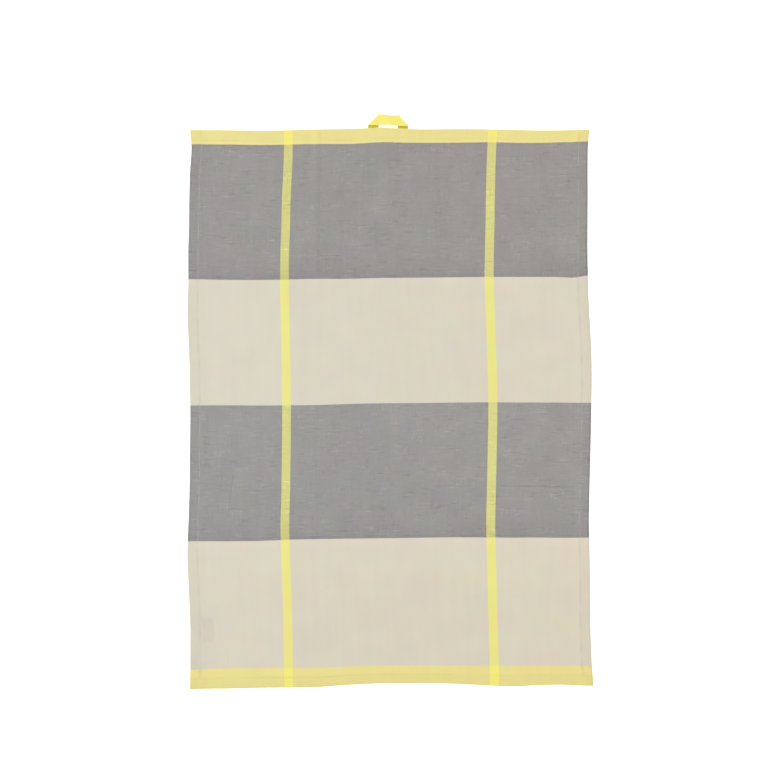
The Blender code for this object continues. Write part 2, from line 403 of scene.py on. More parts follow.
def linear(levels: Colour, light: float = STUDIO_LIGHT) -> Colour:
    """A colour for a shader.

    Args:
        levels: Its three display levels, 0 to 255.
        light: The light it is seen under.

    Returns:
        The colour that shows those levels under that light.
    """
    share = np.array(levels) / 255.0
    value = np.where(share <= 0.04045, share / 12.92, ((share + 0.055) / 1.055) ** 2.4)
    return tuple((value / light).tolist())


def beside_loop(across: Array) -> Array:
    """How far places lie outside the loop's legs, below nothing between them."""
    return np.abs(across - (LOOP_LEFT + LOOP_RIGHT) / 2) - (LOOP_RIGHT - LOOP_LEFT) / 2


def new_object(name: str, data: bpy.types.ID) -> bpy.types.Object:
    """A new object in the scene.

    Args:
        name: Its name.
        data: What it shows.

    Returns:
        The object.
    """
    piece = bpy.data.objects.new(name, data)
    bpy.context.collection.objects.link(piece)
    return piece


@dataclass(frozen=True)
class ClothLay:
    """How the woven cloth lies: the sway of its warp, the bow of its weft and its soft ripples."""

    sway: tuple[WarpSway, ...] = WARP_SWAY
    bow: tuple[WeftBow, ...] = WEFT_BOW
    ripples: tuple[SoftLine, ...] = RIPPLES

    @staticmethod
    def shifts(table: tuple[NamedTuple, ...], along: Array) -> list[Array]:
        """A table's columns, each read at places along its first one."""
        knots, *columns = np.array(table, float).T
        return [through(along, knots, column) for column in columns]

    @staticmethod
    def between(places: Array, lines: tuple[float, ...], rows: list[Array]) -> Array:
        """A value read between lines of the cloth.

        Args:
            places: Where on the cloth the value is read, square to the lines.
            lines: Where the lines lie.
            rows: The value along each line, at the same points as `places`.

        Returns:
            The value at each place.
        """
        knots = np.array(lines)
        i = np.clip(np.searchsorted(knots, places) - 1, 0, len(knots) - 2)
        t = np.clip((places - knots[i]) / (knots[i + 1] - knots[i]), 0.0, 1.0)
        stack = np.stack(rows)
        before = np.take_along_axis(stack, i[None], axis=0)[0]
        after = np.take_along_axis(stack, i[None] + 1, axis=0)[0]
        return before * (1.0 - t) + after * t

    def place(self, across: Array, height: Array) -> tuple[Array, Array]:
        """Where places on the squared cloth lie.

        Args:
            across: The places on the squared cloth.
            height: The same, along the warp.

        Returns:
            Their x and y.
        """
        x = across + self.between(across, WARP_LINES, self.shifts(self.sway, height))
        y = height + self.between(height, WEFT_LINES, self.shifts(self.bow, across))
        return x, y

    @staticmethod
    def from_line(line: SoftLine, across: Array, height: Array) -> Array:
        """How far places lie from a line.

        Args:
            line: The line.
            across: The places on the squared cloth.
            height: The same, along the warp.

        Returns:
            Each distance, in the line's half widths.
        """
        run = np.array([line.to_across - line.across, line.to_height - line.height])
        from_x, from_y = across - line.across, height - line.height
        share = np.clip((from_x * run[0] + from_y * run[1]) / run.dot(run), 0.0, 1.0)
        return np.hypot(from_x - share * run[0], from_y - share * run[1]) / line.half_width

    def ripple_lift(self, across: Array, height: Array) -> Array:
        """How far the ripples lift the cloth.

        Args:
            across: The places on the squared cloth.
            height: The same, along the warp.

        Returns:
            The lift of the highest ripple at each place.
        """
        aways = [self.from_line(ripple, across, height) for ripple in self.ripples]
        lifts = [ripple.strength * bell(away, 1.0) for ripple, away in zip(self.ripples, aways)]
        return np.max(lifts, axis=0)

    def ridge(self, across: Array, height: Array) -> Array:
        """How much light the ripples catch.

        Args:
            across: The places on the squared cloth.
            height: The same, along the warp.

        Returns:
            A number for each place, above nothing on a crest and below it at its foot.
        """
        glow = np.zeros_like(across)
        for ripple in self.ripples:
            away = self.from_line(ripple, across, height)
            glow += ripple.strength * (bell(away, 0.7) - 0.4 * bell(away - 0.8, 0.4))
        return glow


@dataclass
class SheetGrid:
    """A thin closed sheet, from a grid of points on its middle surface.

    Its faces are closed round every open edge. The map `cloth` says where a point lies on the flat
    cut, in metres, and the bake's own map lays the two sides out next to each other.
    """

    middle: Array  # rows x columns x 3
    flat: Array  # rows x columns x 2
    thickness: float
    keep: Array | None = None  # which cells are there, one fewer each way than the points
    front_share: float = 0.65  # of the bake map's width
    ridge: Array | None = None  # rows x columns, how much light a place catches

    def normals(self) -> Array:
        """The direction that the sheet's face looks in.

        Returns:
            A vector of length 1 for each point.
        """
        along, up = np.gradient(self.middle, axis=1), np.gradient(self.middle, axis=0)
        normal = np.cross(along, up)
        return normal / np.maximum(np.linalg.norm(normal, axis=2, keepdims=True), 1e-12)

    def cells(self) -> Array:
        """The cells that are there.

        Returns:
            The four points of each, turning left.
        """
        rows, columns = self.middle.shape[:2]
        index = np.arange(rows * columns).reshape(rows, columns)
        quads = np.stack(
            (index[:-1, :-1], index[:-1, 1:], index[1:, 1:], index[1:, :-1]), axis=2
        )
        kept = np.ones(quads.shape[:2], bool) if self.keep is None else self.keep
        return quads[kept]

    @staticmethod
    def rim(quads: Array, count: int) -> Array:
        """The edges that only one cell has.

        Args:
            quads: The four points of each cell.
            count: How many points there are.

        Returns:
            The two ends of each edge, with its cell on the left.
        """
        ends = np.concatenate([quads[:, [k, (k + 1) % 4]] for k in range(4)])
        there = ends[:, 0] * count + ends[:, 1]
        back = ends[:, 1] * count + ends[:, 0]
        return ends[~np.isin(there, back)]

    def build(self, name: str, material: bpy.types.Material) -> bpy.types.Object:
        """Make the closed sheet.

        Args:
            name: The piece's name.
            material: Its finish.

        Returns:
            The new object, in metres.
        """
        half = self.normals() * self.thickness / 2
        points = np.concatenate(
            [(self.middle + half).reshape(-1, 3), (self.middle - half).reshape(-1, 3)]
        )
        count = self.middle.shape[0] * self.middle.shape[1]
        quads = self.cells()
        edges = self.rim(quads, count)
        rim = np.stack((edges[:, 1], edges[:, 0], edges[:, 0] + count, edges[:, 1] + count), axis=1)
        faces = np.concatenate([quads, quads[:, ::-1] + count, rim])
        used = np.unique(faces)
        place = np.zeros(len(points), np.int64)
        place[used] = np.arange(len(used))
        mesh = bpy.data.meshes.new(name)
        mesh.from_pydata((points[used] * MM).tolist(), [], place[faces].tolist())
        self.map_faces(mesh, faces, count, len(rim))
        if self.ridge is not None:
            both = np.tile(self.ridge.ravel(), 2)[used].astype(np.float32)
            mesh.attributes.new("ridge", "FLOAT", "POINT").data.foreach_set("value", both)
        mesh.shade_smooth()
        mesh.materials.append(material)
        mesh.update()
        return new_object(name, mesh)

    def map_faces(self, mesh: bpy.types.Mesh, faces: Array, count: int, rim_count: int) -> None:
        """Give the mesh its two maps.

        Args:
            mesh: The new mesh, with its faces in the order of `faces`.
            faces: Four points a face: the front's, the back's, then the rim's.
            count: How many points one side has.
            rim_count: How many faces the rim has.
        """
        corner, margin, rim_half = faces.ravel(), 0.004, 0.001
        flat = self.flat.reshape(-1, 2)
        cut = flat[corner % count]
        unit = (cut - flat.min(axis=0)) / np.ptp(flat, axis=0)
        start = np.where(corner >= count, self.front_share, 0.0) + margin
        width = np.where(corner >= count, 1.0 - self.front_share, self.front_share) - 2 * margin
        across = start + unit[:, 0] * width
        up = margin + unit[:, 1] * (1.0 - 2 * margin)
        first = len(corner) - 4 * rim_count
        across[first:] = self.front_share + rim_half * np.tile([-1, -1, 1, 1], rim_count)
        ends = np.arange(rim_count)[:, None] + [0, 1, 1, 0]
        up[first:] = ends.ravel() / rim_count
        for name, places in (("OFBake", np.stack((across, up), axis=1)), (CUT_MAP, cut * MM)):
            layer = mesh.uv_layers.new(name=name)
            layer.uv.foreach_set("vector", places.astype(np.float32).ravel())


class NodeGraph:
    """Short calls that build a node tree."""

    def __init__(self, tree: bpy.types.NodeTree) -> None:
        """Work on a tree."""
        self.tree = tree

    def plug(self, value: object, socket: Socket) -> None:
        """Join a socket to another, or give it a value.

        Args:
            value: The other socket or the value.
            socket: The input that takes it.
        """
        if isinstance(value, Socket):
            self.tree.links.new(value, socket)
        elif socket.type == "RGBA":
            socket.default_value = (*value, 1.0)
        else:
            socket.default_value = value

    def add(
        self, kind: str, inputs: dict | None = None, output: object = 0, **settings: object
    ) -> Socket:
        """Make a node.

        Args:
            kind: Its kind.
            inputs: A value or a socket for each input, by its name or number.
            output: The name or number of the output wanted.
            settings: Its properties, which are set first.

        Returns:
            That output.
        """
        node = self.tree.nodes.new(kind)
        for name, value in settings.items():
            setattr(node, name, value)
        for name, value in (inputs or {}).items():
            self.plug(value, node.inputs[name])
        return node.outputs[output]


class Graph(NodeGraph):
    """Short calls that build the node tree of one material, in millimetres."""

    def __init__(self, name: str, source: Coordinates = Coordinates.CUT) -> None:
        """Start a material.

        Args:
            name: The material's name.
            source: What its places are read on.
        """
        self.material = bpy.data.materials.new(name)
        self.material.use_nodes = True
        super().__init__(self.material.node_tree)
        self.shader = self.tree.nodes["Principled BSDF"]
        self.place, self.across, self.height, _ = self.read(source)

    def read(self, source: Coordinates) -> tuple[Socket, ...]:
        """Read where a place lies.

        Args:
            source: What it is read on.

        Returns:
            The place and its three parts.
        """
        kind, output = source.value
        settings = {"uv_map": CUT_MAP} if source is Coordinates.CUT else {}
        place = self.vector("MULTIPLY", self.add(kind, output=output, **settings), (1 / MM,) * 3)
        return place, *self.add("ShaderNodeSeparateXYZ", {0: place}).node.outputs

    def math(self, operation: str, *values: object, clamp: bool = False) -> Socket:
        """One step of arithmetic on sockets or numbers."""
        inputs = dict(enumerate(values))
        return self.add("ShaderNodeMath", inputs, operation=operation, use_clamp=clamp)

    def vector(self, operation: str, *values: object) -> Socket:
        """One step of arithmetic on vectors or colours."""
        return self.add("ShaderNodeVectorMath", dict(enumerate(values)), operation=operation)

    def scaled(self, vector: object, factor: Socket) -> Socket:
        """A vector or colour times a number."""
        inputs = {0: vector, "Scale": factor}
        return self.add("ShaderNodeVectorMath", inputs, operation="SCALE")

    def times(self, value: object, factor: object, plus: object = 0.0) -> Socket:
        """A number times another, plus a third."""
        return self.math("MULTIPLY_ADD", value, factor, plus)

    def blend(self, factor: Socket, low: float, high: float) -> Socket:
        """A number that runs from one value to another as a factor runs from 0 to 1."""
        return self.times(factor, high - low, low)

    def mix(self, factor: Socket, first: object, second: object) -> Socket:
        """One colour where a factor is 0 and another where it is 1."""
        inputs = {"Factor": factor, 6: first, 7: second}
        return self.add("ShaderNodeMix", inputs, 2, data_type="RGBA")

    def away(self, place: Socket, line: float) -> Socket:
        """How far a place lies from a line."""
        return self.math("ABSOLUTE", self.math("SUBTRACT", place, line))

    def smooth(self, value: Socket, start: float, end: float, soft: bool = True) -> Socket:
        """A number that rises with a value.

        Args:
            value: The value.
            start: Where the number is 0.
            end: Where it is 1.
            soft: Whether it eases in and out.

        Returns:
            The number.
        """
        inputs = {"Value": value, "From Min": start, "From Max": end}
        kind = "SMOOTHSTEP" if soft else "LINEAR"
        return self.add("ShaderNodeMapRange", inputs, interpolation_type=kind)

    def noise(
        self,
        size: tuple[float, ...],
        detail: float = 1.0,
        start: float = 0.0,
        coloured: bool = False,
    ) -> Socket:
        """Soft noise over the material's places.

        Args:
            size: How long a grain is along each axis, without an end along one that is left out.
            detail: How much finer noise is added.
            start: How far along and up the noise is moved.
            coloured: Whether each channel has its own noise.

        Returns:
            A socket with a value or colour from 0 to 1, about 0.5 in the mean.
        """
        shrink = [1.0 / length for length in size] + [0.0] * (3 - len(size))
        where = self.vector("ADD", self.place, (start, start, 0.0)) if start else self.place
        inputs = {"Vector": self.vector("MULTIPLY", where, shrink), "Scale": 1.0, "Detail": detail}
        output = "Color" if coloured else 0
        return self.add("ShaderNodeTexNoise", inputs, output, noise_dimensions="3D")

    def uneven(self, size: tuple[float, ...], detail: float = 1.0, strength: float = 1.0) -> Socket:
        """Noise as far above nothing as below it."""
        return self.times(self.noise(size, detail), strength, -strength / 2)

    def passed(self, place: Socket, lines: list[float]) -> Socket:
        """How many lines a place lies beyond.

        Args:
            place: The place, square to the lines.
            lines: Where the lines lie.

        Returns:
            The number, with a thread's width to cross each line.
        """
        total = 0.0
        for line in lines:
            over = self.smooth(place, line - THREAD_EDGE, line + THREAD_EDGE, soft=False)
            total = self.math("ADD", over, total)
        return total

    def ramp(self, factor: Socket, stops: list[tuple[float, Colour]]) -> Socket:
        """A colour that runs straight from stop to stop.

        Args:
            factor: Where between the stops a place is, from 0 to 1.
            stops: The position and colour of each stop, in order.

        Returns:
            The colour.
        """
        node = self.tree.nodes.new("ShaderNodeValToRGB")
        elements = node.color_ramp.elements
        elements.remove(elements[1])
        elements[0].position = stops[0][0]
        for _ in stops[1:]:
            elements.new(1.0)
        for element, (position, colour) in zip(elements, stops):
            element.position = position
            element.color = (*colour, 1.0)
        self.plug(factor, node.inputs[0])
        return node.outputs[0]

    def bands(self, passed: Socket, colours: list[Colour]) -> Socket:
        """One colour for each band of the cloth.

        Args:
            passed: How many bands lie below a place.
            colours: The bands' colours, from the lowest.

        Returns:
            The colour of the place's band.
        """
        entries = 255  # a renderer keeps a ramp as a table, and every stop lies on an entry
        pace = entries // (len(colours) - 1) / entries
        stops = [(i * pace, colour) for i, colour in enumerate(colours)]
        return self.ramp(self.times(passed, pace), stops)

    def along(self, tones: tuple[Tone, ...]) -> Socket:
        """A tone that runs straight between heights.

        Args:
            tones: The heights, from the lowest, and the tone at each.

        Returns:
            A small number, above or below nothing.
        """
        low, high = tones[0].height, tones[-1].height
        stops = [((at - low) / (high - low), (0.5 + lighter,) * 3) for at, lighter in tones]
        tone = self.ramp(self.smooth(self.height, low, high, soft=False), stops)
        return self.math("SUBTRACT", tone, 0.5)

    def near_line(self, line: SoftLine) -> Socket:
        """How near a place is to a line.

        Args:
            line: The line.

        Returns:
            1 on the line, 0 at its half width or more.
        """
        run = Vector((line.to_across - line.across, line.to_height - line.height))
        x = self.math("SUBTRACT", self.across, line.across)
        y = self.math("SUBTRACT", self.height, line.height)
        share = self.times(x, run.x / run.length_squared)
        share = self.math("MULTIPLY_ADD", y, run.y / run.length_squared, share, clamp=True)
        x, y = self.times(share, -run.x, x), self.times(share, -run.y, y)
        away = self.math("SQRT", self.times(x, x, self.times(y, y)))
        return self.smooth(away, line.half_width, 0.0)

    def finish(
        self, colour: Socket, relief: Socket, depth: float, strength: float, **constants: float
    ) -> bpy.types.Material:
        """Give the shader its colour and relief.

        Args:
            colour: The base colour.
            relief: A height from 0 to 1.
            depth: What 1 stands for.
            strength: How much of it shows.
            constants: The shader's other sockets, each named with _ for a space.

        Returns:
            The finished material.
        """
        inputs = {"Strength": strength, "Distance": depth * MM, "Height": relief}
        self.plug(self.add("ShaderNodeBump", inputs), self.shader.inputs["Normal"])
        self.plug(colour, self.shader.inputs["Base Color"])
        for name, value in constants.items():
            self.plug(value, self.shader.inputs[name.replace("_", " ")])
        return self.material


@dataclass(frozen=True)
class WovenCotton:
    """Plain-weave cotton: a pale warp with two yellow stripes, crossed by coloured weft."""

    thread: float = 0.56
    stripes: tuple[tuple[float, float], ...] = ((-129.8, 5.42), (125.9, 5.63))  # middle, half width
    plain_share: float = 0.22  # how much of a plain band the warp covers
    stripe_share: float = 0.66
    plain_limit: float = 0.42  # how high the crossing wave is where the warp comes on top
    stripe_limit: float = -0.25
    drift: Colour = (-1.6e-5, -6.2e-5, -1.1e-4)  # how the tone warms to the right, a millimetre
    blotch: float = 0.072
    ridge_light: float = 0.02

    def material(self) -> bpy.types.Material:
        """The cloth's material.

        Returns:
            The material.
        """
        g = Graph("woven_cotton_check")
        crossing, stripe = self.threads(g)
        level = g.math("ADD", g.height, g.uneven((1.4, 4.0), strength=0.8))
        mean, step = self.band_colours(g, level, stripe)
        colour = g.vector("ADD", mean, g.scaled(step, self.warp_on_top(g, crossing, stripe)))
        colour = g.scaled(colour, self.tone(g, level))
        warmed = g.vector("MULTIPLY_ADD", g.across, self.drift, (1.0,) * 3)
        uneven = g.noise((30.0, 26.0), 0.5, coloured=True)
        uneven = g.vector("MULTIPLY_ADD", uneven, (self.blotch,) * 3, (1.0 - self.blotch / 2,) * 3)
        colour = g.vector("MULTIPLY", colour, g.vector("MULTIPLY", warmed, uneven))
        relief = g.math("POWER", g.math("ABSOLUTE", crossing), 0.6)
        shine = {"Sheen_Weight": 0.1, "Sheen_Roughness": 0.4, "Specular_IOR_Level": 0.2}
        return g.finish(colour, relief, 0.09, 0.35, Roughness=0.92, **shine)

    @staticmethod
    def band_colours(g: Graph, level: Socket, stripe: Socket) -> tuple[Socket, Socket]:
        """The colours of the bands.

        Args:
            g: The graph.
            level: The height, with uneven edges between bands.
            stripe: 1 in a stripe, else 0.

        Returns:
            The mean colour of each place, and the step from its weft to its warp.
        """
        raised = 0.2  # a ramp holds nothing below zero
        steps = [[tuple(np.add(step, raised)) for step in band.weft.value] for band in BANDS]
        passed = g.passed(level, [band.top for band in BANDS[:-1]])
        plain, striped, *stepped = (
            g.bands(passed, list(colours))
            for colours in (
                [linear(band.plain) for band in BANDS],
                [linear(band.striped) for band in BANDS],
                *zip(*steps),
            )
        )
        step = g.vector("SUBTRACT", g.mix(stripe, *stepped), (raised,) * 3)
        return g.mix(stripe, plain, striped), step

    def threads(self, g: Graph) -> tuple[Socket, Socket]:
        """The crossing of the threads and the stripes in the warp.

        Args:
            g: The graph.

        Returns:
            A wave that is above nothing where the warp lies on top, and 1 in a stripe, else 0.
        """
        waves = []
        for part, size in ((g.across, (1.3, 17.0)), (g.height, (17.0, 1.3))):
            wandering = g.math("ADD", part, g.uneven(size, strength=0.5))
            waves.append(g.math("SINE", g.times(wandering, math.pi / self.thread)))
        inside = [
            g.smooth(g.away(g.across, middle), half + THREAD_EDGE, half - THREAD_EDGE, soft=False)
            for middle, half in self.stripes
        ]
        return g.times(*waves), g.math("MAXIMUM", *inside)

    def warp_on_top(self, g: Graph, crossing: Socket, stripe: Socket) -> Socket:
        """Where the warp lies on top.

        Args:
            g: The graph.
            crossing: The crossing of the threads.
            stripe: 1 in a stripe, else 0.

        Returns:
            1 where the warp is on top and 0 where the weft is, less the warp's share of the zone.
        """
        limit = g.blend(stripe, self.plain_limit, self.stripe_limit)
        top = g.smooth(g.math("SUBTRACT", crossing, limit), -0.08, 0.08)
        return g.math("SUBTRACT", top, g.blend(stripe, self.plain_share, self.stripe_share))

    @staticmethod
    def readings(g: Graph) -> dict[Reading, Socket]:
        """What the shades on the cloth go by.

        Args:
            g: The graph.

        Returns:
            A socket for each reading.
        """
        ragged = g.uneven((6.0, 6.0), strength=4.0)
        return {
            Reading.ACROSS: g.across,
            Reading.HEIGHT: g.height,
            Reading.SIDE: g.math("ABSOLUTE", g.across),
            Reading.STRIPE: g.away(g.across, WARP_LINES[1]),
            Reading.ROW: g.away(g.height, -343.0),
            Reading.ROW_MIDDLE: g.away(g.across, -105.0),
            Reading.PATCH: g.noise((30.0, 15.0), 0.0),
            Reading.BESIDE_LABEL: g.away(g.math("ADD", g.across, ragged), -228.2),
            Reading.BEYOND_LABEL: g.away(g.math("ADD", g.height, ragged), -283.0),
        }

    def tone(self, g: Graph, level: Socket) -> Socket:
        """How much lighter or darker than its yarn each place looks, with painted shade and
        highlights.

        Args:
            g: The graph.
            level: The height, with uneven edges between bands.

        Returns:
            A factor, about 1 in the mean.
        """
        edge, inside = THREAD_EDGE, []
        for low, high in (LOWER_GREY, UPPER_GREY):
            above = g.smooth(level, low - edge, low + edge)
            inside.append(g.times(above, g.smooth(level, high + edge, high - edge)))
        grey = g.math("MAXIMUM", *inside)
        tone = g.along(TONES)
        patchy = g.blend(g.smooth(g.noise((28.0, 16.0)), 0.38, 0.6), 0.3, 1.0)
        for slub in SLUBS:
            shown = g.smooth(g.noise((slub.wide, slub.high), 0.0, slub.start), 0.6, 0.78)
            tone = g.times(g.times(g.times(shown, patchy), grey), slub.lighter, tone)
        parts = [(g.uneven((grain.wide, grain.high), 1.5), grain) for grain in GRAINS]
        readings = self.readings(g)
        for shade in SHADES:
            steps = (g.smooth(readings[reading], start, end) for reading, start, end in shade.steps)
            parts.append((reduce(g.times, steps), shade))
        for part, kind in parts:
            tone = g.times(part, g.blend(grey, kind.elsewhere, kind.in_grey), tone)
        # painted highlight on the ripples' crests and painted shade at their feet, in the grey bands
        ridge = g.add("ShaderNodeAttribute", output="Fac", attribute_name="ridge")
        tone = g.times(g.times(ridge, grey), self.ridge_light, tone)
        # painted shade along the creases, and a painted highlight where a strength is below nothing
        for crease in CREASES:
            tone = g.times(g.near_line(crease), -crease.strength, tone)
        return g.math("ADD", tone, 1.0)


@dataclass(frozen=True)
class LoopTape:
    """Bright yellow woven cotton tape, ribbed across."""

    colour: Colour = (250, 239, 125)
    leg_painted_shade: Colour = (0.85, 0.84, 0.35)  # painted shade: how much darker and more saturated the legs look in the shade of the upper layer
    rib: float = 0.7

    def material(self) -> bpy.types.Material:
        """The tape's material.

        Returns:
            The material.
        """
        g = Graph("woven_loop_tape")
        turn = 2 * math.pi / self.rib
        waves = (g.math("SINE", g.times(part, turn)) for part in (g.height, g.across))
        weave = g.times(g.times(*waves), 0.5, 0.5)
        tone = g.times(g.uneven((6.0, 1.2), 2.0), 0.10, 1.0)
        tone = g.times(g.math("SUBTRACT", weave, 0.5), 0.07, tone)
        _, _, up_towel, lift = g.read(Coordinates.TOWEL)
        # painted shade: where the tape lies low, on its legs, it takes the darker leg colour, and
        # darker still next to the towel's edge
        low = g.smooth(lift, 1.6, 0.7)
        tone = g.times(g.times(g.smooth(up_towel, 343.5, 342.0), low), -0.07, tone)
        hue = g.noise((9.0, 12.0), 0.5, coloured=True)
        hue = g.vector("MULTIPLY_ADD", hue, (0.07, 0.09, 0.24), (0.965, 0.955, 0.88))
        base = linear(self.colour)
        # the painted leg shade is mixed in here, on the low-lying tape
        colour = g.vector("MULTIPLY", g.mix(low, base, tuple(np.multiply(base, self.leg_painted_shade))), hue)
        shine = {"Sheen_Weight": 0.08, "Sheen_Roughness": 0.4, "Specular_IOR_Level": 0.25}
        return g.finish(g.scaled(colour, tone), weave, 0.12, 0.4, Roughness=0.85, **shine)


@dataclass(frozen=True)
class LabelSatin:
    """A plain pale satin ribbon with a faint sheen and no text."""

    colour: Colour = (214, 210, 200)

    def material(self) -> bpy.types.Material:
        """The label's material.

        Returns:
            The material.
        """
        g = Graph("label_satin_weave")
        thread = g.noise((4.0, 0.16))
        colour = g.scaled(linear(self.colour, light=1.0), g.times(thread, 0.12, 0.94))
        shine = {"Sheen_Weight": 0.05, "Specular_IOR_Level": 0.45}
        return g.finish(colour, thread, 0.03, 0.5, Roughness=0.5, **shine)


@dataclass(frozen=True)
class SewingThread:
    """Spun thread, uneven in its twist: pale along the sides and yellow in the yellow ends."""

    colour: Colour = (207, 202, 190)
    end_colour: Colour = (226, 214, 138)

    def material(self) -> bpy.types.Material:
        """The thread's material.

        Returns:
            The material.
        """
        g = Graph("pale_sewing_thread", Coordinates.TOWEL)
        twist = g.noise((0.3, 0.3, 0.3))
        tone = g.times(g.uneven((7.0, 7.0, 3.0), 2.0), 0.5, 1.0)
        tone = g.times(g.math("SUBTRACT", twist, 0.5), 0.3, tone)
        in_end = g.smooth(g.away(g.height, (TOP + BOTTOM) / 2), 329.0, 331.0)
        colour = g.scaled(g.mix(in_end, linear(self.colour), linear(self.end_colour)), tone)
        shine = {"Sheen_Weight": 0.1, "Specular_IOR_Level": 0.3}
        return g.finish(colour, twist, 0.05, 0.5, Roughness=0.75, **shine)


class Station(NamedTuple):
    """One grid line of the cut, in section through a hem or in the open panel."""

    section: Section
    side: int  # -1 at the left or bottom hem, 1 at the right or top hem, 0 in the open panel
    away: float  # from the hem's outer fold, or the place on the cloth in the open panel
    angle: float = 0.0  # round a fold, from the layer nearer the front


class Hem(NamedTuple):
    """A double hem: how wide it is sewn, how far in its seam runs, and where its raw edge lies."""

    width: float
    seam: float
    raw_edge: float = 3.0


@dataclass(frozen=True)
class Line:
    """What one family of grid lines needs: an array for each fact, one value a line."""

    place: Array  # on the squared cloth, where it doesn't depend on the other family
    away: Array  # from the nearer fold
    angle: Array
    flat: Array  # on the cut
    side: Array
    width: Array  # of the hem
    seam: Array
    is_section: dict[Section, Array]
    near: Array  # 1 within a hem, 0 in the open panel, smooth between


